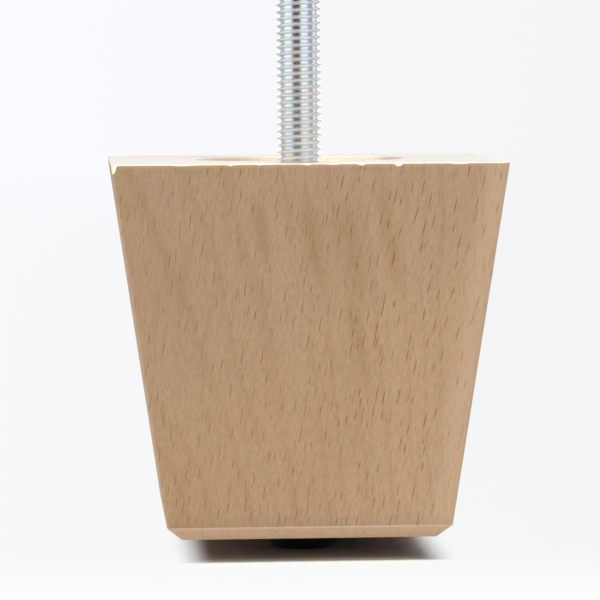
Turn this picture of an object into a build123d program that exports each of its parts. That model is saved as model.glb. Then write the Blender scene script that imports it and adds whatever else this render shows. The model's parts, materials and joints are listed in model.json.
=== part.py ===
from build123d import *
import math
import os

# A tapered hardwood furniture foot: it stands on a nail-on glide and is fastened by a threaded stud.
# Millimetres. The origin is on the floor, under the centre of the glide, with +Z up.

# Wooden block
top_width = 68.0
foot_width = 49.0  # as the slanted sides would meet the underside, without the chamfer
block_height = 65.5
foot_chamfer = 2.3
corner_radius = 0.5
rim_break = 0.25
recess_diameter = 38.0
recess_depth = 5.0

# Hanger bolt: machine thread above, plain shank, wood-screw end
thread_diameter = 8.0
thread_above_block = 34.0
thread_end_chamfer = 1.0
shank_diameter = 7.1
shank_length = 6.0
screw_core_diameter = 5.6
screw_length = 35.0
screw_point_length = 6.0
shank_shoulder_length = 0.8

# Glide
glide_height = 4.0
glide_rim_diameter = 15.0
glide_rim_thickness = 1.2
glide_face_diameter = 11.0
glide_edge_radius = 0.8
glide_rim_radius = 0.3

# Nail moulded into the glide
nail_diameter = 2.4
nail_length = 16.5
nail_point_length = 3.0
nail_head_diameter = 7.0
nail_head_thickness = 0.9
plastic_under_head = 1.3

# Fits
bore_clearance = 0.05
moulded_clearance = 0.03
drill_point_angle = 118.0

# Levels
block_bottom = glide_height
block_top = block_bottom + block_height
recess_floor = block_top - recess_depth
bolt_end = block_top + thread_above_block
shank_bottom = recess_floor - shank_length
bolt_tip = shank_bottom - screw_length
nail_head_top = plastic_under_head + nail_head_thickness
nail_tip = plastic_under_head + nail_length

# Slope of each side from the vertical, in degrees
side_slope = math.degrees(math.atan((top_width - foot_width) / 2 / block_height))


def drill_point_depth(radius):
    return radius / math.tan(math.radians(drill_point_angle / 2))


# Wooden block: slanted sides, chamfered foot, bored recess, and blind holes for the bolt and the nail
shank_bore = shank_diameter / 2 + bore_clearance
screw_bore = screw_core_diameter / 2 + bore_clearance
nail_bore = nail_diameter / 2 + bore_clearance

with BuildPart() as wooden_block:
    with BuildSketch(Plane.XY.offset(block_top)):
        Rectangle(top_width, top_width)
    extrude(amount=-block_height)
    sides = faces().filter_by(Axis.Z, reverse=True)
    draft(sides, Plane.XY.offset(block_top), -side_slope)
    underside = faces().sort_by(Axis.Z)[0]
    chamfer(underside.edges(), foot_chamfer)
    slanted_edges = edges().filter_by(Plane.XY, reverse=True).group_by(SortBy.LENGTH)[-1]
    fillet(slanted_edges, corner_radius)
    rim = faces().sort_by(Axis.Z)[-1]
    chamfer(rim.edges(), rim_break)

    with BuildSketch(Plane.XY.offset(block_top)):
        Circle(recess_diameter / 2)
    extrude(amount=-recess_depth, mode=Mode.SUBTRACT)

    with BuildSketch(Plane.XZ):
        with BuildLine():
            Polyline(
                (0, recess_floor),
                (shank_bore, recess_floor),
                (shank_bore, shank_bottom),
                (screw_bore, shank_bottom - shank_shoulder_length),
                (screw_bore, bolt_tip),
                (0, bolt_tip - drill_point_depth(screw_bore)),
                close=True,
            )
        make_face()
    revolve(axis=Axis.Z, mode=Mode.SUBTRACT)

    with BuildSketch(Plane.XZ):
        with BuildLine():
            Polyline(
                (0, block_bottom),
                (nail_bore, block_bottom),
                (nail_bore, nail_tip),
                (0, nail_tip + drill_point_depth(nail_bore)),
                close=True,
            )
        make_face()
    revolve(axis=Axis.Z, mode=Mode.SUBTRACT)
wooden_block.part.label = "wooden_block"

# Hanger bolt: the end of the machine thread seats on the recess floor
with BuildPart() as hanger_bolt:
    with BuildSketch(Plane.XZ):
        with BuildLine():
            Polyline(
                (0, bolt_tip),
                (screw_core_diameter / 2, bolt_tip + screw_point_length),
                (screw_core_diameter / 2, shank_bottom - shank_shoulder_length),
                (shank_diameter / 2, shank_bottom),
                (shank_diameter / 2, recess_floor),
                (thread_diameter / 2, recess_floor),
                (thread_diameter / 2, bolt_end - thread_end_chamfer),
                (thread_diameter / 2 - thread_end_chamfer, bolt_end),
                (0, bolt_end),
                close=True,
            )
        make_face()
    revolve(axis=Axis.Z)
hanger_bolt.part.label = "hanger_bolt"

# Glide: a moulded button, wider against the wood, closed round the head of its nail
with BuildPart() as glide:
    with BuildSketch(Plane.XZ):
        with BuildLine():
            Polyline(
                (0, 0),
                (glide_face_diameter / 2, 0),
                (glide_rim_diameter / 2, glide_height - glide_rim_thickness),
                (glide_rim_diameter / 2, glide_height),
                (0, glide_height),
                close=True,
            )
        make_face()
        rim_corners = vertices().group_by(Axis.X)[-1]
        fillet(rim_corners, glide_rim_radius)
        face_corner = vertices().group_by(Axis.Z)[0].sort_by(Axis.X)[-1]
        fillet(face_corner, glide_edge_radius)
    revolve(axis=Axis.Z)
    with BuildSketch(Plane.XZ):
        with BuildLine():
            Polyline(
                (0, plastic_under_head),
                (nail_head_diameter / 2 + moulded_clearance, plastic_under_head),
                (nail_head_diameter / 2 + moulded_clearance, nail_head_top),
                (nail_diameter / 2 + moulded_clearance, nail_head_top),
                (nail_diameter / 2 + moulded_clearance, glide_height),
                (0, glide_height),
                close=True,
            )
        make_face()
    revolve(axis=Axis.Z, mode=Mode.SUBTRACT)
glide.part.label = "glide"

# Glide nail: flat head, round shank, conical point
with BuildPart() as glide_nail:
    with BuildSketch(Plane.XZ):
        with BuildLine():
            Polyline(
                (0, plastic_under_head),
                (nail_head_diameter / 2, plastic_under_head),
                (nail_head_diameter / 2, nail_head_top),
                (nail_diameter / 2, nail_head_top),
                (nail_diameter / 2, nail_tip - nail_point_length),
                (0, nail_tip),
                close=True,
            )
        make_face()
    revolve(axis=Axis.Z)
glide_nail.part.label = "glide_nail"

os.makedirs("parts", exist_ok=True)
export_step(wooden_block.part, "parts/wooden_block.step")
export_step(hanger_bolt.part, "parts/hanger_bolt.step")
export_step(glide.part, "parts/glide.step")
export_step(glide_nail.part, "parts/glide_nail.step")
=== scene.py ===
import json
import math
import random

import bmesh
import bpy
from mathutils import Matrix, Vector, noise


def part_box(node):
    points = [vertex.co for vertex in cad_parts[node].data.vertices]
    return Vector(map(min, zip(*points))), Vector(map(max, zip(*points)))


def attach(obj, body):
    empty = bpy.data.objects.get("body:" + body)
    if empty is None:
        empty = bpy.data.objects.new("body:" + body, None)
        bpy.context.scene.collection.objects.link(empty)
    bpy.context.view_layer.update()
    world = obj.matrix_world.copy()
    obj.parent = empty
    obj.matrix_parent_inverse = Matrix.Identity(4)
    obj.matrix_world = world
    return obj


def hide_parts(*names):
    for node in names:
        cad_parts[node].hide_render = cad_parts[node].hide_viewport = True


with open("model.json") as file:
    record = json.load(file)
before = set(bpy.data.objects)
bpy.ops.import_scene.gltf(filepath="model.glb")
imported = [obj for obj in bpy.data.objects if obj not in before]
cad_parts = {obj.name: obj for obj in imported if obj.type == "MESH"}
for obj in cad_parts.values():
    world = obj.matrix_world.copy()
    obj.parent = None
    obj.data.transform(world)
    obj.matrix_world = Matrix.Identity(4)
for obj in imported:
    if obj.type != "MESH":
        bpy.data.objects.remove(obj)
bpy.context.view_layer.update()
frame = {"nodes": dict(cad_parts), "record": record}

# A tapered beech furniture foot on a glide, with a zinc-plated stud. Metres, in the frame of the CAD model.
MM = 0.001

# Sizes of the block that the frame doesn't state
TOP_WIDTH = 68.0 * MM
FOOT_WIDTH = 49.0 * MM  # where the slanted sides would meet the underside, without the chamfer
FOOT_CHAMFER = 2.3 * MM
CORNER_RADIUS = 0.5 * MM
RIM_BREAK = 0.25 * MM
RECESS_RADIUS = 19.0 * MM
SHANK_BORE = 3.6 * MM
SCREW_BORE = 2.85 * MM
NAIL_BORE = 1.25 * MM
NAIL_TIP = 17.8 * MM
DRILL_POINT_ANGLE = math.radians(118)

# Sizes of the hanger bolt that the frame doesn't state
PITCH = 1.25 * MM
SHANK_RADIUS = 3.55 * MM
SHANK_LENGTH = 6.0 * MM
SHOULDER_LENGTH = 0.8 * MM
CORE_RADIUS = 2.8 * MM
POINT_LENGTH = 6.0 * MM

# Levels and sizes read from the frame
block_low, block_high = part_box("wooden_block")
bolt_low, bolt_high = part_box("hanger_bolt")
mounts = {mount["name"]: mount for mount in frame["record"]["mounts"]}
stud_middle = mounts["stud"]["pos_m"][2]
stud_length = mounts["stud"]["dims"]["length_mm"] * MM
thread_radius = mounts["stud"]["dims"]["r_mm"] * MM
recess_floor = stud_middle - stud_length / 2
thread_chamfer_start = stud_middle + stud_length / 2
shank_end = recess_floor - SHANK_LENGTH
bolt_tip = bolt_low.z
bolt_end = bolt_high.z
block_bottom = block_low.z
block_top = block_high.z
side_slope = (TOP_WIDTH - FOOT_WIDTH) / 2 / (block_top - block_bottom)
chamfer_top = block_bottom + FOOT_CHAMFER / math.hypot(1.0, side_slope)


def half_width(height):
    """Half the block's width at a height above the floor."""
    return FOOT_WIDTH / 2 + side_slope * (height - block_bottom)


def srgb(red, green, blue):
    """A colour written as it shows on a screen, from 0 to 255, as linear values with an alpha of 1."""
    linear = []
    for level in (red, green, blue):
        share = level / 255
        linear.append(share / 12.92 if share <= 0.04045 else ((share + 0.055) / 1.055) ** 2.4)
    return (*linear, 1.0)


# Camera
CAMERA_DISTANCE = 0.6686
CAMERA_HEIGHT = 0.08504
LENS_WIDTHS = 3736.7 / 600  # focal length over the sensor's width
SENSOR_WIDTH = 36.0
CLIP_START = 0.01
CLIP_END = 50.0
BLOCK_TURN = math.radians(3.4)  # counterclockwise from above, as the camera sees it
PITCH_DOWN = math.radians(3.498)
YAW = math.radians(-0.0059)
ROLL = math.radians(0.3906)


def add_camera():
    forward = Vector((math.sin(YAW) * math.cos(PITCH_DOWN), math.cos(YAW) * math.cos(PITCH_DOWN),
                      -math.sin(PITCH_DOWN)))
    level_right = Vector((math.cos(YAW), -math.sin(YAW), 0))
    level_up = level_right.cross(forward)
    right = math.cos(ROLL) * level_right - math.sin(ROLL) * level_up
    up = math.sin(ROLL) * level_right + math.cos(ROLL) * level_up
    turn = Matrix.Rotation(-BLOCK_TURN, 3, "Z")
    place = turn @ Vector((0, -CAMERA_DISTANCE, CAMERA_HEIGHT))
    axes = Matrix((turn @ right, turn @ up, turn @ -forward)).transposed()
    data = bpy.data.cameras.new("camera")
    data.sensor_fit = "HORIZONTAL"
    data.sensor_width = SENSOR_WIDTH
    data.lens = LENS_WIDTHS * SENSOR_WIDTH
    data.clip_start = CLIP_START
    data.clip_end = CLIP_END
    camera = bpy.data.objects.new("camera", data)
    camera.matrix_world = Matrix.Translation(place) @ axes.to_4x4()
    bpy.context.scene.collection.objects.link(camera)
    bpy.context.scene.camera = camera


# Node trees
class Graph:
    """Adds nodes to one tree and links them. A value may be a socket, a number or a tuple."""

    def __init__(self, tree):
        self.tree = tree
        tree.nodes.clear()

    def feed(self, socket, value):
        if isinstance(value, bpy.types.NodeSocket):
            self.tree.links.new(value, socket)
        else:
            socket.default_value = value

    def add(self, kind, inputs=None, **settings):
        node = self.tree.nodes.new(kind)
        for name, value in settings.items():
            setattr(node, name, value)
        for name, value in (inputs or {}).items():
            self.feed(node.inputs[name], value)
        return node

    def math(self, operation, *values):
        node = self.add("ShaderNodeMath", operation=operation)
        for socket, value in zip(node.inputs, values):
            self.feed(socket, value)
        return node.outputs[0]

    def vector(self, operation, *values):
        node = self.add("ShaderNodeVectorMath", operation=operation)
        for socket, value in zip(node.inputs, values):
            self.feed(socket, value)
        gives_number = operation in ("DOT_PRODUCT", "LENGTH")
        return node.outputs[1 if gives_number else 0]

    def place(self):
        """Each point's place in the row frame, in metres."""
        return self.add("ShaderNodeTexCoord").outputs["Object"]

    def place_in_mm(self):
        inputs = {"Vector": self.place(), "Scale": 1 / MM}
        return self.add("ShaderNodeVectorMath", inputs, operation="SCALE").outputs[0]

    def split(self, vector):
        node = self.add("ShaderNodeSeparateXYZ", {"Vector": vector})
        return node.outputs[0], node.outputs[1], node.outputs[2]

    def join(self, x, y, z):
        return self.add("ShaderNodeCombineXYZ", {"X": x, "Y": y, "Z": z}).outputs[0]

    def hypot(self, x, y):
        squares = self.math("ADD", self.math("MULTIPLY", x, x), self.math("MULTIPLY", y, y))
        return self.math("SQRT", squares)

    def noise(self, vector, detail=2.0, roughness=0.5):
        inputs = {"Vector": vector, "Scale": 1.0, "Detail": detail, "Roughness": roughness}
        return self.add("ShaderNodeTexNoise", inputs).outputs[0]

    def stretched_noise(self, vector, scales, detail=2.0, roughness=0.5):
        """Noise with its own number of cells to the unit along each axis."""
        return self.noise(self.vector("MULTIPLY", vector, scales), detail, roughness)

    def step(self, value, low, high):
        """0 up to low, 1 from high, and smooth between; the other way round where low is above high."""
        node = self.add("ShaderNodeMapRange", {"Value": value, "From Min": low, "From Max": high},
                        interpolation_type="SMOOTHSTEP")
        return node.outputs[0]

    def rise(self, value, least, more):
        """From least at a value of 0 to more above it at 1."""
        return self.math("MULTIPLY_ADD", value, more, least)

    def blend(self, blend_type, share, first, second):
        node = self.add("ShaderNodeMix", data_type="RGBA", blend_type=blend_type)
        self.feed(node.inputs[0], share)
        self.feed(node.inputs[6], first)
        self.feed(node.inputs[7], second)
        return node.outputs[2]

    def mix(self, share, first, second):
        """The second colour over the first, as far as share says."""
        return self.blend("MIX", share, first, second)

    def tint(self, share, colour, factor):
        """Multiplies a colour by factor, as far as share says."""
        return self.blend("MULTIPLY", share, colour, factor)


def new_material(name):
    material = bpy.data.materials.new(name)
    material.use_nodes = True
    return material, Graph(material.node_tree)


def finish_material(graph, colour, roughness, height, bump_depth, **constants):
    """Adds the surface shader. Constants are set on the shader's own sockets."""
    shader = graph.add("ShaderNodeBsdfPrincipled", {"Base Color": colour, "Roughness": roughness})
    for name, value in constants.items():
        shader.inputs[name.replace("_", " ")].default_value = value
    bump = graph.add("ShaderNodeBump", {"Height": height, "Distance": bump_depth})
    graph.feed(shader.inputs["Normal"], bump.outputs[0])
    output = graph.add("ShaderNodeOutputMaterial")
    graph.feed(output.inputs[0], shader.outputs[0])


# Beech, as it grew: its axes run round the tree's rings, out from its pith and along its fibres.
# Lengths in this section are in millimetres, apart from those with MM, and scales are noise cells to
# the millimetre.
RING_LEAN = math.radians(-9.5)  # the faint ring lines on the front face, from upright
FLECK_LEAN = math.radians(9.0)  # the rays' spindles on the same face
RADIAL_AZIMUTH = math.radians(60)
PITH_DISTANCE = 110.0
WANDER_SCALES = (0.05, 0.05, 0.025)
WANDER_AROUND = 2.0
WANDER_OUTWARD = 5.0
RING_WIDTH = 2.6
RING_SPREAD = 2.5  # how unevenly the rings are spaced, in rings
RING_SPREAD_SCALE = 0.21

# Scales round, out and along
FIBRE_SCALES = (4.2, 4.2, 0.6)
MOTTLE_SCALES = (1.5, 1.5, 0.5)
STRAND_SCALES = (1.1, 0.5, 0.03)
CLOUD_SCALES = (0.09, 0.09, 0.035)

# The rays' ends: spacing of their cells round, out and along, then half a fleck's width
# and half its greatest length
STRONG_FLECKS = ((1.6, 24.0, 4.4), 0.105, 2.1)
FAINT_FLECKS = ((1.05, 17.0, 3.0), 0.10, 1.3)
FAINT_SHARE = 0.38
FAINT_OFFSET = (31.7, 0.0, 0.0)  # keeps the faint flecks' cells apart from the strong ones'
SHORTEST_FLECK = 0.4  # of the greatest length
CELL_RANDOMNESS = 0.85
FLECK_EDGE = (1.2, 0.5)  # its soft outline, where the spindle's own edge is at 1
FLECK_STRENGTHS = (0.0, 0.85)

# Between which values of their noise, or places in a ring, the other layers set in
MOTTLE_STEP = (0.3, 0.7)
CLOUD_STEP = (0.35, 0.75)
STRAND_STEP = (0.4, 0.75)
FIBRE_STEP = (0.36, 0.72)
LATEWOOD_START = (0.55, 0.93)
LATEWOOD_END = (1.0, 0.95)
LATEWOOD_IN_CLOUD = (0.1, 0.5)
STREAK_IN_MOTTLE = (0.1, 0.6)

# The relief's parts, out of the surface, and its depth on each kind of surface
FLECK_RELIEF = -0.6
FIBRE_RELIEF = 0.5
PORE_RELIEF = -0.8
CUTTER_RELIEF = 2.0
SIDE_DEPTH = 0.03 * MM
CHAMFER_DEPTH = 0.04 * MM
END_GRAIN_DEPTH = 0.03 * MM

# Roughness, as one value or as the least and what the fibres add
SIDE_ROUGHNESS = (0.38, 0.18)
CHAMFER_ROUGHNESS = 0.55
END_GRAIN_ROUGHNESS = 0.32
SHEEN = 1.0
SHEEN_ROUGHNESS = 0.35
COAT_ROUGHNESS = 0.2

# On the sides: a painted highlight, a paler strip by the distance from the right edges, and a ragged
# warm line by the height over the top
RIGHT_EDGE_HIGHLIGHT = (6.0, 2.0)
RIGHT_EDGE_HIGHLIGHT_SHARE = 0.28
RIM_LINE = (-0.35, 0.25)
RIM_LINE_RAGGED = 1.1
RIM_LINE_SHARE = 0.6

# On the chamfer: a paleness that is partly the fresh cut's own colour and partly painted light from the
# floor below, slanted saw marks, and a painted highlight, a light line by the height over its upper edge
CHAMFER_PALE_AND_LIT_SHARE = 0.5
SAW_MARK_SCALE = 1.7
SAW_MARK_RISE = -2.2
SAW_MARK_STEP = (0.48, 0.7)
CHAMFER_HIGHLIGHT_LINE = (-0.35, -0.1)
CHAMFER_HIGHLIGHT_SHARE = 0.4

# On end grain: how pale each kind is, its pores, and the rings that a cutter leaves. On the top and in the
# bore the paleness is partly the end grain's own colour and partly painted light, the glare that whitens
# them.
TOP_PALENESS_AND_GLARE = 0.7
BORED_PALENESS_AND_GLARE = 0.92
RIM_PALENESS = 0.9
PORE_SCALES = (7.0, 7.0, 0.6)
PORE_STEP = (0.5, 0.7)
CUTTER_SCALE = 2.4
CUTTER_SCALE_UP = 0.5
CUTTER_STEP = (0.45, 0.7)

BEECH_PINK = srgb(197, 158, 124)
BEECH_OLIVE = srgb(187, 157, 117)
BEECH_HIGHLIGHT = srgb(220, 192, 162)
CHAMFER_PALE_AND_LIT = srgb(216, 187, 158)
CHAMFER_HIGHLIGHT = srgb(232, 208, 182)
END_GRAIN_PALE = srgb(252, 240, 223)
RIM_WARM = srgb(214, 168, 122)

# Factors of the wood's colour
CLOUD_TINT = (0.97, 0.96, 0.94, 1.0)
LATEWOOD_TINT = (0.95, 0.925, 0.90, 1.0)
STRAND_TINT = (0.95, 0.935, 0.92, 1.0)
STREAK_TINT = (0.85, 0.81, 0.69, 1.0)
FIBRE_TINT = (0.86, 0.835, 0.81, 1.0)
FLECK_TINT = (0.66, 0.54, 0.45, 1.0)
REDDISH_FLECK_TINT = (0.72, 0.48, 0.40, 1.0)
SAW_MARK_TINT = (0.90, 0.87, 0.83, 1.0)
PORE_TINT = (0.87, 0.82, 0.76, 1.0)
CUTTER_TINT = (0.90, 0.85, 0.78, 1.0)

# Painted light and shade: the board is greyer and a little darker towards its top left, and warmer and
# lighter towards its bottom right, where the floor's bounce falls
SHADE_ABOVE_TINT = (0.955, 0.975, 1.015, 1.0)
BOUNCE_BELOW_TINT = (1.07, 1.055, 1.03, 1.0)
LIGHT_DRIFT_SIDEWAYS = 0.25
LIGHT_DRIFT_REACH = (-72.0, -6.0)

# Faint olive streaks under the front face: place from the middle, half-width, height of their middle
# and half-length
MINERAL_STREAKS = (
    (0.3, 3.0, 56.0, 11.0),
    (7.3, 3.6, 54.0, 13.0),
    (13.2, 2.4, 58.0, 16.0),
    (8.5, 2.2, 38.0, 12.0),
    (-8.5, 2.0, 58.0, 8.0),
)
STREAK_DEPTH = 12.0
STREAK_FULL_DEPTH = 0.6  # share of its depth to which a streak is at its full strength
STREAK_FULL_LENGTH = 0.2  # and of its half-length


def on_front_face(lean):
    """The direction on the block's front face that leans by that angle from upright."""
    return Vector((math.sin(lean), -side_slope * math.cos(lean), math.cos(lean))).normalized()


def wood_axes():
    """Unit vectors of the tree: out from its pith, round its rings, and along its fibres."""
    ring_trace = on_front_face(RING_LEAN)
    radial = Vector((math.cos(RADIAL_AZIMUTH), math.sin(RADIAL_AZIMUTH), 0))
    radial.z = -radial.dot(ring_trace) / ring_trace.z
    radial.normalize()
    tangential = radial.cross(on_front_face(FLECK_LEAN)).normalized()
    return radial, tangential, tangential.cross(radial)


def fleck_layer(graph, in_wood, spacing, width, length):
    """Spindle-shaped ends of the rays, one in each cell: their strength, and a chance for each."""
    cells = graph.vector("DIVIDE", in_wood, spacing)
    voronoi = graph.add("ShaderNodeTexVoronoi",
                        {"Vector": cells, "Scale": 1.0, "Randomness": CELL_RANDOMNESS},
                        voronoi_dimensions="3D", feature="F1")
    offset = graph.vector("SUBTRACT", cells, voronoi.outputs["Position"])
    off_around, _, off_along = graph.split(offset)
    chance_a, chance_b, chance_c = graph.split(voronoi.outputs["Color"])
    reach = graph.rise(chance_a, length * SHORTEST_FLECK, length * (1 - SHORTEST_FLECK))
    off_along = graph.math("DIVIDE", graph.math("MULTIPLY", off_along, spacing[2]), reach)
    off_around = graph.math("ABSOLUTE", graph.math("MULTIPLY", off_around, spacing[0] / width))
    edge = graph.math("MULTIPLY_ADD", off_along, off_along, off_around)
    shape = graph.step(edge, *FLECK_EDGE)
    strength = graph.step(chance_b, *FLECK_STRENGTHS)
    return graph.math("MULTIPLY", shape, strength), chance_c


def mineral_streaks(graph, in_mm):
    """Where the faint olive streaks lie, leaning as the rings do on the front face."""
    x, y, height = graph.split(in_mm)
    total = 0.0
    for place, half_width_of_streak, middle, half_length in MINERAL_STREAKS:
        above = graph.math("SUBTRACT", height, middle)
        off = graph.math("MULTIPLY_ADD", above, -math.tan(RING_LEAN), graph.math("SUBTRACT", x, place))
        across = graph.step(graph.math("ABSOLUTE", off), half_width_of_streak, 0.0)
        ends = graph.step(graph.math("ABSOLUTE", above), half_length, half_length * STREAK_FULL_LENGTH)
        total = graph.math("MAXIMUM", total, graph.math("MULTIPLY", across, ends))
    front = TOP_WIDTH / 2 / MM
    near_front = graph.step(y, STREAK_DEPTH - front, STREAK_DEPTH * STREAK_FULL_DEPTH - front)
    return graph.math("MULTIPLY", total, near_front)


def beech(graph):
    """The wood at every point of the block: its place, colour, relief and fibres, as sockets."""
    in_mm = graph.place_in_mm()
    radial, tangential, fibre = wood_axes()
    wander = graph.stretched_noise(in_mm, WANDER_SCALES, detail=1.0)
    wander = graph.math("SUBTRACT", wander, 0.5)
    out = graph.math("ADD", graph.vector("DOT_PRODUCT", in_mm, tuple(radial)), PITH_DISTANCE)
    across = graph.vector("DOT_PRODUCT", in_mm, tuple(tangential))
    along = graph.vector("DOT_PRODUCT", in_mm, tuple(fibre))
    around = graph.math("MULTIPLY", graph.math("ARCTAN2", across, out), PITH_DISTANCE)
    around = graph.math("MULTIPLY_ADD", wander, WANDER_AROUND, around)
    outward = graph.math("MULTIPLY_ADD", wander, WANDER_OUTWARD, graph.hypot(across, out))
    in_wood = graph.join(around, outward, along)

    strong, hue = fleck_layer(graph, in_wood, *STRONG_FLECKS)
    faint, _ = fleck_layer(graph, graph.vector("ADD", in_wood, FAINT_OFFSET), *FAINT_FLECKS)
    fibres = graph.stretched_noise(in_wood, FIBRE_SCALES, detail=3.0, roughness=0.6)
    mottle = graph.stretched_noise(in_wood, MOTTLE_SCALES, detail=3.0, roughness=0.6)
    strands = graph.stretched_noise(in_wood, STRAND_SCALES, detail=3.0)
    cloud = graph.stretched_noise(in_wood, CLOUD_SCALES, detail=1.0)
    spread = graph.join(graph.math("MULTIPLY", outward, RING_SPREAD_SCALE), 0.0, 0.0)
    spread = graph.noise(spread, detail=1.0)
    ring = graph.math("FRACT", graph.math("ADD", graph.math("DIVIDE", outward, RING_WIDTH),
                                          graph.math("MULTIPLY", spread, RING_SPREAD)))
    latewood = graph.math("MULTIPLY", graph.step(ring, *LATEWOOD_START), graph.step(ring, *LATEWOOD_END))
    latewood = graph.math("MULTIPLY", latewood, graph.step(cloud, *LATEWOOD_IN_CLOUD))
    x, _, height = graph.split(in_mm)
    light_drift = graph.math("MULTIPLY_ADD", x, LIGHT_DRIFT_SIDEWAYS, graph.math("MULTIPLY", height, -1.0))
    light_drift = graph.step(light_drift, *LIGHT_DRIFT_REACH)
    olive = graph.math("MULTIPLY", mineral_streaks(graph, in_mm), graph.step(mottle, *STREAK_IN_MOTTLE))

    colour = graph.mix(graph.step(mottle, *MOTTLE_STEP), BEECH_OLIVE, BEECH_PINK)
    colour = graph.tint(graph.step(cloud, *CLOUD_STEP), colour, CLOUD_TINT)
    colour = graph.tint(latewood, colour, LATEWOOD_TINT)
    # Painted light and shade: greyer above, warmer and lighter below
    colour = graph.tint(1.0, colour, graph.mix(light_drift, SHADE_ABOVE_TINT, BOUNCE_BELOW_TINT))
    colour = graph.tint(graph.step(strands, *STRAND_STEP), colour, STRAND_TINT)
    colour = graph.tint(olive, colour, STREAK_TINT)
    colour = graph.tint(graph.step(fibres, *FIBRE_STEP), colour, FIBRE_TINT)
    colour = graph.tint(graph.math("MULTIPLY", faint, FAINT_SHARE), colour, FLECK_TINT)
    colour = graph.tint(strong, colour, graph.mix(hue, FLECK_TINT, REDDISH_FLECK_TINT))
    relief = graph.rise(strong, graph.math("MULTIPLY", fibres, FIBRE_RELIEF), FLECK_RELIEF)
    return in_mm, colour, relief, fibres


def beech_side():
    """The slanted sides, with a painted highlight, a paler strip beside the right edges, and a warm line
    under the rim.
    """
    material, graph = new_material("beech_side")
    in_mm, colour, relief, fibres = beech(graph)
    x, _, height = graph.split(in_mm)
    half = graph.math("MULTIPLY_ADD", height, side_slope, half_width(0.0) / MM)
    from_right = graph.math("SUBTRACT", half, x)
    # Painted highlight: the sides grow paler towards their right edges
    edge_highlight = graph.math("MULTIPLY", graph.step(from_right, *RIGHT_EDGE_HIGHLIGHT), RIGHT_EDGE_HIGHLIGHT_SHARE)
    colour = graph.mix(edge_highlight, colour, BEECH_HIGHLIGHT)
    ragged = graph.math("MULTIPLY_ADD", fibres, RIM_LINE_RAGGED, height)
    under_rim = graph.step(ragged, *(block_top / MM + over for over in RIM_LINE))
    colour = graph.mix(graph.math("MULTIPLY", under_rim, RIM_LINE_SHARE), colour, RIM_WARM)
    finish_material(graph, colour, graph.rise(fibres, *SIDE_ROUGHNESS), relief, SIDE_DEPTH)
    return material


def beech_chamfer():
    """The foot's chamfer: paler, partly with painted light from the floor, and rougher, with slanted saw
    marks and a painted highlight along its upper edge.
    """
    material, graph = new_material("beech_chamfer")
    in_mm, colour, relief, _ = beech(graph)
    x, y, height = graph.split(in_mm)
    sweep = graph.math("ADD", graph.math("MULTIPLY", x, SAW_MARK_SCALE),
                       graph.math("MULTIPLY", height, SAW_MARK_RISE))
    marks = graph.noise(graph.join(sweep, graph.math("MULTIPLY", y, SAW_MARK_SCALE), 0.0), detail=3.0)
    # Paleness: partly the fresh cut's own colour, partly painted light from the floor below
    colour = graph.mix(CHAMFER_PALE_AND_LIT_SHARE, colour, CHAMFER_PALE_AND_LIT)
    colour = graph.tint(graph.step(marks, *SAW_MARK_STEP), colour, SAW_MARK_TINT)
    # Painted highlight along the chamfer's upper edge
    upper_edge_highlight = graph.step(height, *(chamfer_top / MM + over for over in CHAMFER_HIGHLIGHT_LINE))
    colour = graph.mix(graph.math("MULTIPLY", upper_edge_highlight, CHAMFER_HIGHLIGHT_SHARE), colour, CHAMFER_HIGHLIGHT)
    finish_material(graph, colour, CHAMFER_ROUGHNESS, graph.math("ADD", relief, marks), CHAMFER_DEPTH)
    return material


def beech_end_grain(name, paleness, coat=0.0, circular_marks=False):
    """Wood cut across its fibres, as pale as stated, with the cutter's rings where it was bored."""
    material, graph = new_material(name)
    in_mm, colour, _, _ = beech(graph)
    x, y, height = graph.split(in_mm)
    pores = graph.stretched_noise(in_mm, PORE_SCALES, detail=2.0, roughness=0.7)
    # How pale the end grain is; on the top and in the bore this is partly painted glare
    colour = graph.mix(paleness, colour, END_GRAIN_PALE)
    colour = graph.tint(graph.step(pores, *PORE_STEP), colour, PORE_TINT)
    relief = graph.math("MULTIPLY", pores, PORE_RELIEF)
    if circular_marks:
        from_axis = graph.math("MULTIPLY", graph.hypot(x, y), CUTTER_SCALE)
        upwards = graph.math("MULTIPLY", height, CUTTER_SCALE_UP)
        waves = graph.noise(graph.join(from_axis, 0.0, upwards), detail=2.0)
        relief = graph.math("ADD", relief, graph.math("MULTIPLY", waves, CUTTER_RELIEF))
        colour = graph.tint(graph.step(waves, *CUTTER_STEP), colour, CUTTER_TINT)
    finish_material(graph, colour, END_GRAIN_ROUGHNESS, relief, END_GRAIN_DEPTH, Sheen_Weight=SHEEN,
                    Sheen_Roughness=SHEEN_ROUGHNESS, Coat_Weight=coat, Coat_Roughness=COAT_ROUGHNESS)
    return material


# Block: a closed skin of rings, from the nail's bore round the outside to the bolt's bore
ARC_STEPS = 4
FLAT_STEPS = 136
RING_CORNER = 0.015  # corner radius of the ring that gives round rings their directions, in half-widths
CONE_CAP = 0.02  # radius of the flat cap at a cone's point, as a share of the cone's
BLOCK_SHARP_ANGLE = math.radians(28)

# The block's materials, in the order in which add_block gives them
SIDE, CHAMFER, END_GRAIN, BORED, RIM = range(5)

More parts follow.
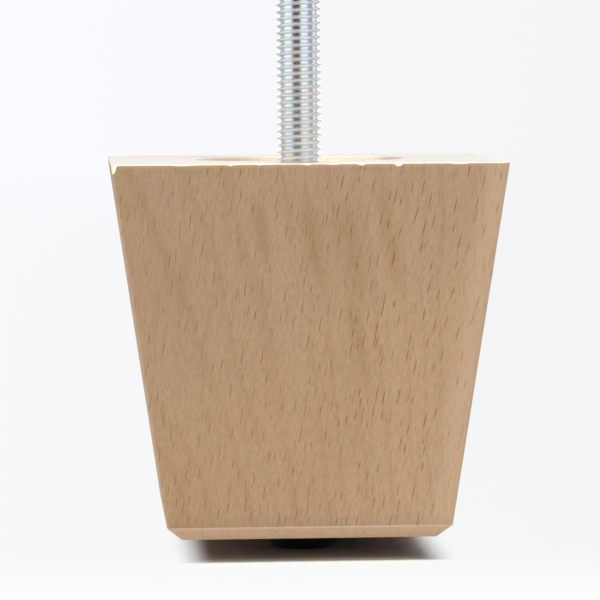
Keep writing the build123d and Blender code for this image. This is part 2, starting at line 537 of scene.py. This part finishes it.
# Places of the rings between two edges, as shares of the way. They are closer at the edges, to keep
# these crisp.
UNDERSIDE_SHARES = (0.02, 0.15, 0.35, 0.6, 0.85, 0.97)
CHAMFER_SHARES = (0.03, 0.25, 0.5, 0.75, 0.96)
SIDE_ROWS = 24
SIDE_SHARES = (*(row / SIDE_ROWS for row in range(SIDE_ROWS)), 0.975, 0.983, 0.989, 0.994, 0.9975)
TOP_SHARES = (0.01, 0.03, 0.08, 0.2, 0.35, 0.5, 0.65, 0.8, 0.92, 0.97)
WALL_SHARES = (0.1, 0.25, 0.4, 0.55, 0.7, 0.85, 0.97)
RECESS_FLOOR_SHARES = (0.999, 0.96, 0.85, 0.7, 0.55, 0.4, 0.3, 0.25, 0.21)  # of the recess's radius

# The chamfer's corners, and the gap between its rounded upper edge and the side's first ring
CHAMFER_LOWER_RADIUS = 0.15 * MM
CHAMFER_UPPER_RADIUS = 0.35 * MM
SIDE_START = 0.1 * MM

# How far the middle of the broken rim bulges
RIM_BULGE_OUT = 0.04 * MM
RIM_BULGE_UP = 0.03 * MM

# How far the recess's edge is torn, in millimetres: at least, and at most as much more
TORN_LEAST = 0.10
TORN_MORE = 0.10
TORN_SCALE = 1800

# Chips along the front edge of the top, in millimetres: place from the middle, half-width and depth
FRONT_CHIPS = (
    (-13.8, 0.5, 0.22),
    (-8.7, 0.4, 0.14),
    (-0.7, 0.5, 0.16),
    (8.6, 0.45, 0.32),
    (14.9, 0.7, 0.48),
    (25.5, 1.6, 0.12),
    (-22.0, 2.5, 0.10),
    (3.6, 1.2, 0.10),
)
CORNER_CHIP = (0.9, 1.5)  # reach along the edge and depth, at the front left corner

# Chips along each other edge, drawn at random between these limits
CHIP_SEED = 11
CHIPS_TO_A_SIDE = 7
CHIP_PLACES = (-32, 32)
CHIP_HALF_WIDTHS = (0.3, 1.0)
CHIP_DEPTHS = (0.08, 0.4)

# The rim's wear all round: its depth in millimetres, and its noise's cells to the millimetre and place
COARSE_WEAR = (0.06, 0.8, 3.0)
FINE_WEAR = (0.03, 3.0, 8.0)
BREAK_SHARE = 0.8  # of the rim's break, left where nothing is chipped


def square_ring(half, radius, height):
    """Points round a square with rounded corners, counterclockwise from its +X side's upper end."""
    inner = half - radius
    centres = ((inner, inner), (-inner, inner), (-inner, -inner), (inner, -inner))
    points = []
    for corner, (x, y) in enumerate(centres):
        for step in range(ARC_STEPS + 1):
            angle = math.radians(90 * (corner + step / ARC_STEPS))
            points.append(Vector((x + radius * math.cos(angle), y + radius * math.sin(angle), height)))
        next_x, next_y = centres[(corner + 1) % 4]
        angle = math.radians(90 * (corner + 1))
        start = points[-1]
        end = Vector((next_x + radius * math.cos(angle), next_y + radius * math.sin(angle), height))
        points += [start.lerp(end, step / FLAT_STEPS) for step in range(1, FLAT_STEPS)]
    return points


RING_DIRECTIONS = [point.to_2d().normalized() for point in square_ring(1.0, RING_CORNER, 0.0)]


def circle_ring(radius, height):
    return [Vector((radius * direction.x, radius * direction.y, height)) for direction in RING_DIRECTIONS]


def drill_point(radius):
    """The depth of the cone that a drill leaves at the end of a bore."""
    return radius / math.tan(DRILL_POINT_ANGLE / 2)


def bored_rings(*sizes):
    """Round rings of the bored wood, each of a radius and a height."""
    return [(circle_ring(radius, height), BORED) for radius, height in sizes]


def rings_between(first, second, shares, material):
    """Rings at the stated shares of the way from one ring to another, in one material."""
    return [([a.lerp(b, share) for a, b in zip(first, second)], material) for share in shares]


def rim_breaks():
    """How far the top edge is worn back at each point of a ring: its plain break, with chips."""
    chance = random.Random(CHIP_SEED)
    sides = {"front": FRONT_CHIPS}
    for side in ("right", "back", "left"):
        sides[side] = [(chance.uniform(*CHIP_PLACES), chance.uniform(*CHIP_HALF_WIDTHS),
                        chance.uniform(*CHIP_DEPTHS)) for _ in range(CHIPS_TO_A_SIDE)]
    half_top = TOP_WIDTH / 2 / MM
    reach, deepest = CORNER_CHIP
    breaks = []
    for point in square_ring(TOP_WIDTH / 2, CORNER_RADIUS, 0.0):
        x, y = point.x / MM, point.y / MM
        if abs(y) >= abs(x):
            side, place = ("front", x) if y < 0 else ("back", x)
        else:
            side, place = ("right", y) if x > 0 else ("left", y)
        chip = max(depth * max(0.0, 1 - ((place - middle) / half) ** 2)
                   for middle, half, depth in sides[side])
        from_corner = math.hypot(x + half_top, y + half_top)
        chip = max(chip, deepest * max(0.0, 1 - (from_corner / reach) ** 2))
        worn = sum(depth * abs(noise.noise(Vector((x * scale, y * scale, layer))))
                   for depth, scale, layer in (COARSE_WEAR, FINE_WEAR))
        breaks.append(RIM_BREAK * BREAK_SHARE + (chip + worn) * MM)
    return breaks


def chipped_top():
    """Rings: the side's start and end, the middle of the broken rim, and the top's outer edge."""
    breaks = rim_breaks()
    side_height = block_top - chamfer_top
    side_start = square_ring(half_width(chamfer_top), CORNER_RADIUS, chamfer_top + SIDE_START)
    full_top = square_ring(half_width(block_top), CORNER_RADIUS, block_top)
    upper, middle, inset = [], [], []
    for low, high, worn in zip(side_start, full_top, breaks):
        upper.append(low.lerp(high, 1 - worn / side_height))
        kept = 1 - worn / half_width(block_top)
        inset.append(Vector((high.x * kept, high.y * kept, high.z)))
        outwards = Vector((upper[-1].x, upper[-1].y, 0)).normalized()
        bulge = outwards * RIM_BULGE_OUT + Vector((0, 0, RIM_BULGE_UP))
        middle.append(upper[-1].lerp(inset[-1], 0.5) + bulge)
    return side_start, upper, middle, inset


def torn_edge():
    """The recess's edge on the top face and on its wall, where the cutter tore the fibres."""
    on_top, on_wall = [], []
    for direction in RING_DIRECTIONS:
        chance = abs(noise.noise(Vector((direction.x * TORN_SCALE, direction.y * TORN_SCALE, 1.0))))
        torn = (TORN_LEAST + TORN_MORE * chance) * MM
        wide = RECESS_RADIUS + torn
        on_top.append(Vector((direction.x * wide, direction.y * wide, block_top)))
        on_wall.append(Vector((direction.x * RECESS_RADIUS, direction.y * RECESS_RADIUS, block_top - torn)))
    return on_top, on_wall


def block_rings():
    """The rings of the block's skin, each with the material of the band after it."""
    hole = circle_ring(NAIL_BORE, block_bottom)
    foot_inner = square_ring(FOOT_WIDTH / 2 - FOOT_CHAMFER, CHAMFER_LOWER_RADIUS, block_bottom)
    foot_outer = square_ring(half_width(chamfer_top), CHAMFER_UPPER_RADIUS, chamfer_top)
    side_start, side_end, rim_middle, top_edge = chipped_top()
    recess_edge, wall_edge = torn_edge()
    recess_depth = block_top - recess_floor
    walls = [(RECESS_RADIUS, block_top - recess_depth * share) for share in WALL_SHARES]
    floors = [(RECESS_RADIUS * share, recess_floor) for share in RECESS_FLOOR_SHARES]
    return [
        *bored_rings((NAIL_BORE * CONE_CAP, NAIL_TIP + drill_point(NAIL_BORE)), (NAIL_BORE, NAIL_TIP)),
        (hole, END_GRAIN),
        *rings_between(hole, foot_inner, UNDERSIDE_SHARES, END_GRAIN),
        (foot_inner, CHAMFER),
        *rings_between(foot_inner, foot_outer, CHAMFER_SHARES, CHAMFER),
        *rings_between(side_start, side_end, SIDE_SHARES, SIDE),
        (side_end, RIM),
        (rim_middle, RIM),
        (top_edge, END_GRAIN),
        *rings_between(top_edge, recess_edge, TOP_SHARES, END_GRAIN),
        (recess_edge, BORED),
        (wall_edge, BORED),
        *bored_rings(*walls),
        *bored_rings(*floors),
        *bored_rings(
            (SHANK_BORE, recess_floor),
            (SHANK_BORE, shank_end),
            (SCREW_BORE, shank_end - SHOULDER_LENGTH),
            (SCREW_BORE, bolt_tip),
            (SCREW_BORE * CONE_CAP, bolt_tip - drill_point(SCREW_BORE)),
        ),
    ]


def mesh_object(name, mesh_data, materials, body="root"):
    """An object in the row frame that rides on a body."""
    piece = bpy.data.objects.new(name, mesh_data)
    bpy.context.scene.collection.objects.link(piece)
    for material in materials:
        mesh_data.materials.append(material)
    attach(piece, body)
    return piece


def finished_mesh(name, work, sharp_angle):
    """Turns the working mesh into mesh data, smooth apart from edges sharper than the angle."""
    bmesh.ops.recalc_face_normals(work, faces=work.faces)
    data = bpy.data.meshes.new(name)
    work.to_mesh(data)
    work.free()
    data.set_sharp_from_angle(angle=sharp_angle)
    return data


def skin_mesh(name, rings, sharp_angle):
    """A closed mesh through rings of equal length, with a flat cap at each end."""
    work = bmesh.new()
    count = len(rings[0][0])
    rows = [[work.verts.new(point) for point in ring] for ring, _ in rings]
    for (first, second), (_, material) in zip(zip(rows, rows[1:]), rings):
        for index in range(count):
            after = (index + 1) % count
            face = work.faces.new((first[index], first[after], second[after], second[index]))
            face.material_index = material
            face.smooth = True
    for row, material in ((rows[0], rings[0][1]), (rows[-1], rings[-1][1])):
        cap = work.faces.new(row)
        cap.material_index = material
    return finished_mesh(name, work, sharp_angle)


def add_block():
    data = skin_mesh("block", block_rings(), BLOCK_SHARP_ANGLE)
    materials = (
        beech_side(),
        beech_chamfer(),
        beech_end_grain("beech_end_grain", TOP_PALENESS_AND_GLARE, coat=1.0),
        beech_end_grain("beech_bored", BORED_PALENESS_AND_GLARE, circular_marks=True),
        beech_end_grain("beech_rim", RIM_PALENESS),
    )
    piece = mesh_object("block", data, materials)
    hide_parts("wooden_block")


# Hanger bolt
THREAD_COLUMNS = 72
CREST_SHARE = 0.125  # width of the flat crest, in pitches
ROOT_RADIUS = 0.1443 * PITCH
THREAD_DEPTH = 0.6134 * PITCH
CREST_SOFTNESS = 0.075 * MM
FLANK_ANGLE = math.radians(60)  # of a flank, from the stud's axis
MOST_EXPONENT = 60  # keeps the crest's rounding within what a number can hold
CREST_AT_RIGHT = 70.067 * MM  # height of a crest on the +X side
HALF_PROFILE = (0.0, 0.03, 0.06, 0.09, 0.125, 0.165, 0.21, 0.265, 0.32, 0.3753, 0.415, 0.455)
SPARE_PITCHES = 2  # rows made past each end, which are pressed flat against it and merged
MERGE_DISTANCE = 0.001 * MM
SHORTEST_EDGE = 0.0005 * MM
BOLT_SHARP_ANGLE = math.radians(40)

# Zinc: its blotches and its grain in cells to the millimetre, and its roughness as the least and what
# the blotches add
ZINC_GREY = srgb(232, 236, 240)
ZINC_WHITE = srgb(241, 243, 245)
ZINC_BLOTCHES = (0.9, 0.9, 0.9)
ZINC_GRAIN = (9.0, 9.0, 9.0)
ZINC_ROUGHNESS = (0.16, 0.10)
ZINC_DEPTH = 0.012 * MM


def thread_cut(turns):
    """How far the thread's surface lies under its outer radius, at a number of pitches from a crest."""
    away = abs((turns + 0.5) % 1.0 - 0.5)
    flank = (away - CREST_SHARE / 2) * PITCH * math.tan(FLANK_ANGLE)
    flank = CREST_SOFTNESS * math.log1p(math.exp(min(flank / CREST_SOFTNESS, MOST_EXPONENT)))
    from_root = (0.5 - away) * PITCH
    if from_root < ROOT_RADIUS * math.sin(FLANK_ANGLE):
        return THREAD_DEPTH - ROOT_RADIUS + math.sqrt(ROOT_RADIUS ** 2 - from_root ** 2)
    return flank


def thread_point(column, height):
    """A point of the threaded length, cut back by the chamfer at its end."""
    share = column / THREAD_COLUMNS
    radius = thread_radius - thread_cut((height - CREST_AT_RIGHT) / PITCH - share)
    end_limit = thread_radius - max(0.0, height - thread_chamfer_start)
    radius = min(radius, end_limit)
    angle = 2 * math.pi * share
    return Vector((radius * math.cos(angle), radius * math.sin(angle), height))


def plain_ring(work, radius, height):
    points = []
    for column in range(THREAD_COLUMNS):
        angle = 2 * math.pi * column / THREAD_COLUMNS
        points.append(work.verts.new((radius * math.cos(angle), radius * math.sin(angle), height)))
    return points


def close_ring(work, first, second):
    for column in range(THREAD_COLUMNS):
        after = (column + 1) % THREAD_COLUMNS
        work.faces.new((first[column], first[after], second[after], second[column]))


def add_thread(work):
    """Adds the skin of the threaded length, whose rows follow the helix, and returns its lowest row."""
    shares = (*HALF_PROFILE, 0.5, *(1 - share for share in reversed(HALF_PROFILE[1:])))
    per_pitch = len(shares)
    first_pitch = math.floor((recess_floor - CREST_AT_RIGHT) / PITCH) - SPARE_PITCHES
    last_pitch = math.ceil((bolt_end - CREST_AT_RIGHT) / PITCH) + SPARE_PITCHES
    row_count = (last_pitch - first_pitch) * per_pitch
    columns = []
    for column in range(THREAD_COLUMNS):
        made = []
        for row in range(row_count):
            turns = first_pitch + row // per_pitch + shares[row % per_pitch] + column / THREAD_COLUMNS
            height = min(max(CREST_AT_RIGHT + PITCH * turns, recess_floor), bolt_end)
            made.append(work.verts.new(thread_point(column, height)))
        columns.append(made)
    for column in range(THREAD_COLUMNS):
        here = columns[column]
        wraps = column + 1 == THREAD_COLUMNS
        beside = columns[0][per_pitch:] if wraps else columns[column + 1]
        for row in range(row_count - 1 - (per_pitch if wraps else 0)):
            work.faces.new((here[row], beside[row], beside[row + 1], here[row + 1]))
    work.faces.new([made[-1] for made in columns])
    return [made[0] for made in columns]


def bolt_mesh():
    """The whole bolt: the thread above, and rings of a turned shape below."""
    work = bmesh.new()
    above = add_thread(work)
    profile = (
        (SHANK_RADIUS, recess_floor),
        (SHANK_RADIUS, shank_end),
        (CORE_RADIUS, shank_end - SHOULDER_LENGTH),
        (CORE_RADIUS, bolt_tip + POINT_LENGTH),
        (CORE_RADIUS * CONE_CAP, bolt_tip),
    )
    for radius, height in profile:
        ring = plain_ring(work, radius, height)
        close_ring(work, ring, above)
        above = ring
    work.faces.new(above)
    bmesh.ops.remove_doubles(work, verts=work.verts, dist=MERGE_DISTANCE)
    bmesh.ops.dissolve_degenerate(work, edges=work.edges, dist=SHORTEST_EDGE)
    for face in work.faces:
        face.smooth = True
    return finished_mesh("stud", work, BOLT_SHARP_ANGLE)


def zinc():
    material, graph = new_material("zinc_plate")
    in_mm = graph.place_in_mm()
    blotches = graph.stretched_noise(in_mm, ZINC_BLOTCHES, detail=3.0)
    grain = graph.stretched_noise(in_mm, ZINC_GRAIN, detail=3.0)
    colour = graph.mix(blotches, ZINC_GREY, ZINC_WHITE)
    finish_material(graph, colour, graph.rise(blotches, *ZINC_ROUGHNESS), grain, ZINC_DEPTH, Metallic=1.0)
    return material


def add_bolt():
    piece = mesh_object("threaded_stud", bolt_mesh(), [zinc()])
    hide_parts("hanger_bolt")


# Glide and nail keep their CAD shapes, and each gets a fine grain between two colours
GRAIN_ROUGHENS = 0.2
PLASTIC_COLOURS = (srgb(22, 21, 20), srgb(34, 32, 31))
PLASTIC_GRAIN = (6.0, 6.0, 6.0)
PLASTIC_SMOOTHEST = 0.42
PLASTIC_DEPTH = 0.02 * MM
STEEL_COLOURS = (srgb(150, 150, 152), srgb(182, 182, 184))
STEEL_GRAIN = (5.0, 5.0, 1.0)
STEEL_SMOOTHEST = 0.25
STEEL_DEPTH = 0.01 * MM


def grained(name, scales, colours, smoothest, depth, **constants):
    material, graph = new_material(name)
    grain = graph.stretched_noise(graph.place_in_mm(), scales, detail=3.0)
    roughness = graph.rise(grain, smoothest, GRAIN_ROUGHENS)
    finish_material(graph, graph.mix(grain, *colours), roughness, grain, depth, **constants)
    return material


def moulded_plastic():
    return grained("moulded_plastic", PLASTIC_GRAIN, PLASTIC_COLOURS, PLASTIC_SMOOTHEST, PLASTIC_DEPTH)


def bright_steel():
    return grained("bright_steel", STEEL_GRAIN, STEEL_COLOURS, STEEL_SMOOTHEST, STEEL_DEPTH, Metallic=1.0)


def dress_node(name, material):
    data = frame["nodes"][name].data
    for index in range(len(data.materials)):
        data.materials[index] = material


# Stage and light. The paper takes the object's shadow near the foot and is plain background further out.
FLOOR_RADIUS = 3.0
FLOOR_SEGMENTS = 96
PAPER_LEFT = srgb(248, 249, 251)
PAPER_RIGHT = srgb(243, 244, 246)
PAPER_NEAR = srgb(253, 253, 253)
BACKDROP_LEFT = srgb(250, 251, 254)
BACKDROP_RIGHT = srgb(245, 245, 247)

# Where the paper's colours change: sideways, towards the front and into the backdrop
PAPER_SIDEWAYS = (-0.12, 0.12)
PAPER_FORWARDS = (0.0, -0.08)
BACKDROP_FROM = 0.8
BACKDROP_SIDEWAYS = 0.08  # of a level direction's part to the right

# Where the shadow fades into the plain background, to each side of its middle and to the front and back
SHADOW_MIDDLE = 0.0013
SHADOW_SIDEWAYS = (0.0182, 0.0252)
SHADOW_FORWARDS = (0.0225, 0.034)

# The paper's colour: as seen, as seen under the foot, darkened there by a painted brown shade, and as it
# lights the foot
PAPER_ALBEDO = (0.72, 0.72, 0.72, 1.0)
PAPER_PAINTED_SHADE = (0.36, 0.31, 0.27, 1.0)
PAPER_BOUNCE = (0.74, 0.74, 0.74, 1.0)
PAINTED_SHADE_REACH = (0.0165, 0.0235)

# The room's soft light, near the horizon and overhead
SKY_LOW = (0.07, 0.07, 0.075, 1.0)
SKY_HIGH = (0.22, 0.225, 0.235, 1.0)
SKY_RISE = (0.0, 0.7)

# What the zinc and the top's coat mirror: a white room under a grey ceiling, with a dark gap in front,
# a grey one on the right and a wide grey one behind. Each gap is its colour, its azimuth, the half-width
# of its middle and that with its soft edges. Azimuths are in degrees, to the right of the front.
ROOM_WHITE = (1.14, 1.24, 1.29, 1.0)
CEILING_GREY = (0.69, 0.685, 0.68, 1.0)
CEILING_RISE = (0.25, 0.55)
DARK_GAP = ((0.0, 0.0, 0.01, 1.0), -15, 20, 33)
GREY_GAP = ((0.36, 0.39, 0.47, 1.0), 84, 12, 28)
REAR_GAP = ((0.56, 0.56, 0.58, 1.0), -168, 54, 74)

# A low, narrow glow behind the foot, which whitens the top at a grazing view
REAR_GLOW = (2.4, 2.3, 2.12, 1.0)
REAR_GLOW_AZIMUTHS = (180, 5, 18)
REAR_GLOW_HEIGHTS = (0.5, 0.15)

# Lamps: azimuth, elevation, distance, width and height, watts, and whether the zinc mirrors the lamp
LAMP_TARGET = Vector((0, 0, 0.03))
LAMPS = {
    "overhead": (0, 72, 1.1, (1.6, 0.25), 1.2, True),
    "overhead_fill": (0, 72, 1.1, (1.6, 0.25), 10.8, False),
    "right": (42, 24, 0.36, (0.14, 0.14), 0.27, False),
    "left": (-64, 38, 0.8, (0.2, 0.2), 3.0, False),
}


def stage_direction(azimuth, elevation=0.0):
    """A fixed direction in the row frame, azimuth degrees to the right of the stage's front."""
    across = math.radians(azimuth)
    up = math.radians(elevation)
    direction = Vector((math.sin(across) * math.cos(up), -math.cos(across) * math.cos(up), math.sin(up)))
    return Matrix.Rotation(-BLOCK_TURN, 3, "Z") @ direction


def levelled(graph, direction):
    """The level direction of the same azimuth."""
    return graph.vector("NORMALIZE", graph.vector("MULTIPLY", direction, (1.0, 1.0, 0.0)))


def near_azimuth(graph, level, azimuth, middle, edge):
    """1 within middle degrees of an azimuth, 0 from edge degrees away, and smooth between."""
    facing = graph.vector("DOT_PRODUCT", level, tuple(stage_direction(azimuth)))
    return graph.step(facing, math.cos(math.radians(edge)), math.cos(math.radians(middle)))


def mirrored_room(graph, direction):
    """The colour that a mirror shows in a direction, whatever its elevation."""
    level = levelled(graph, direction)
    colour = ROOM_WHITE
    for gap_colour, *place in (DARK_GAP, GREY_GAP, REAR_GAP):
        colour = graph.mix(near_azimuth(graph, level, *place), colour, gap_colour)
    return colour


def backdrop_colour(graph, direction):
    """The colour of the far background, a little darker on the right."""
    sideways = graph.vector("DOT_PRODUCT", graph.vector("NORMALIZE", direction), tuple(stage_direction(90)))
    on_right = graph.step(sideways, -BACKDROP_SIDEWAYS, BACKDROP_SIDEWAYS)
    return graph.mix(on_right, BACKDROP_LEFT, BACKDROP_RIGHT)


def paper():
    """White paper. Camera and mirrors see plain background past the foot's shadow."""
    material, graph = new_material("paper")
    position = graph.place()
    x, y, _ = graph.split(position)
    path = graph.add("ShaderNodeLightPath")
    seen = path.outputs["Is Camera Ray"]
    mirrored = path.outputs["Is Glossy Ray"]

    plain = graph.mix(graph.step(x, *PAPER_SIDEWAYS), PAPER_LEFT, PAPER_RIGHT)
    plain = graph.mix(graph.step(y, *PAPER_FORWARDS), plain, PAPER_NEAR)
    distant = graph.step(graph.vector("LENGTH", position), BACKDROP_FROM, FLOOR_RADIUS)
    plain = graph.mix(distant, plain, backdrop_colour(graph, position))
    plain = graph.mix(mirrored, plain, mirrored_room(graph, position))
    backdrop = graph.add("ShaderNodeEmission", {"Color": plain, "Strength": 1.0})

    # Painted shade: the camera sees the paper darker and browner under the foot
    from_middle = graph.math("MAXIMUM", graph.math("ABSOLUTE", x), graph.math("ABSOLUTE", y))
    shown_with_shade = graph.mix(graph.step(from_middle, *PAINTED_SHADE_REACH), PAPER_PAINTED_SHADE, PAPER_ALBEDO)
    matt = graph.add("ShaderNodeBsdfDiffuse", {"Color": graph.mix(seen, PAPER_BOUNCE, shown_with_shade)})

    off_middle = graph.math("ABSOLUTE", graph.math("SUBTRACT", x, SHADOW_MIDDLE))
    sideways = graph.step(off_middle, *SHADOW_SIDEWAYS)
    forwards = graph.step(graph.math("ABSOLUTE", y), *SHADOW_FORWARDS)
    far = graph.math("MAXIMUM", sideways, forwards)
    surface = graph.add("ShaderNodeMixShader")
    graph.feed(surface.inputs[0], graph.math("MULTIPLY", far, graph.math("MAXIMUM", seen, mirrored)))
    graph.feed(surface.inputs[1], matt.outputs[0])
    graph.feed(surface.inputs[2], backdrop.outputs[0])
    output = graph.add("ShaderNodeOutputMaterial")
    graph.feed(output.inputs[0], surface.outputs[0])
    return material


def add_floor():
    work = bmesh.new()
    bmesh.ops.create_circle(work, cap_ends=True, segments=FLOOR_SEGMENTS, radius=FLOOR_RADIUS)
    data = bpy.data.meshes.new("floor")
    work.to_mesh(data)
    work.free()
    data.materials.append(paper())
    floor = bpy.data.objects.new("floor", data)
    bpy.context.scene.collection.objects.link(floor)


def add_world():
    world = bpy.data.worlds.new("studio")
    bpy.context.scene.world = world
    world.use_nodes = True
    graph = Graph(world.node_tree)
    direction = graph.add("ShaderNodeTexCoord").outputs["Generated"]
    path = graph.add("ShaderNodeLightPath")
    _, _, upwards = graph.split(direction)
    mirrored = graph.mix(graph.step(upwards, *CEILING_RISE), mirrored_room(graph, direction), CEILING_GREY)
    glow = near_azimuth(graph, levelled(graph, direction), *REAR_GLOW_AZIMUTHS)
    glow = graph.math("MULTIPLY", glow, graph.step(upwards, *REAR_GLOW_HEIGHTS))
    mirrored = graph.mix(glow, mirrored, REAR_GLOW)
    sky = graph.mix(graph.step(upwards, *SKY_RISE), SKY_LOW, SKY_HIGH)
    lit = graph.mix(path.outputs["Is Glossy Ray"], sky, mirrored)
    colour = graph.mix(path.outputs["Is Camera Ray"], lit, backdrop_colour(graph, direction))
    background = graph.add("ShaderNodeBackground", {"Color": colour, "Strength": 1.0})
    output = graph.add("ShaderNodeOutputWorld")
    graph.feed(output.inputs[0], background.outputs[0])


def add_lamp(name, azimuth, elevation, distance, size, watts, mirrored):
    """A soft box that faces the block from a direction counted from the stage's front."""
    data = bpy.data.lights.new(name, "AREA")
    data.shape = "RECTANGLE"
    data.size, data.size_y = size
    data.energy = watts
    lamp = bpy.data.objects.new(name, data)
    towards = stage_direction(azimuth, elevation)
    lamp.location = LAMP_TARGET + towards * distance
    lamp.rotation_euler = (-towards).to_track_quat("-Z", "Y").to_euler()
    lamp.visible_glossy = mirrored
    bpy.context.scene.collection.objects.link(lamp)


add_camera()
add_block()
add_bolt()
dress_node("glide", moulded_plastic())
dress_node("glide_nail", bright_steel())
add_floor()
add_world()
for lamp_name, lamp_values in LAMPS.items():
    add_lamp(lamp_name, *lamp_values)

bpy.context.scene.view_settings.view_transform = "Standard"
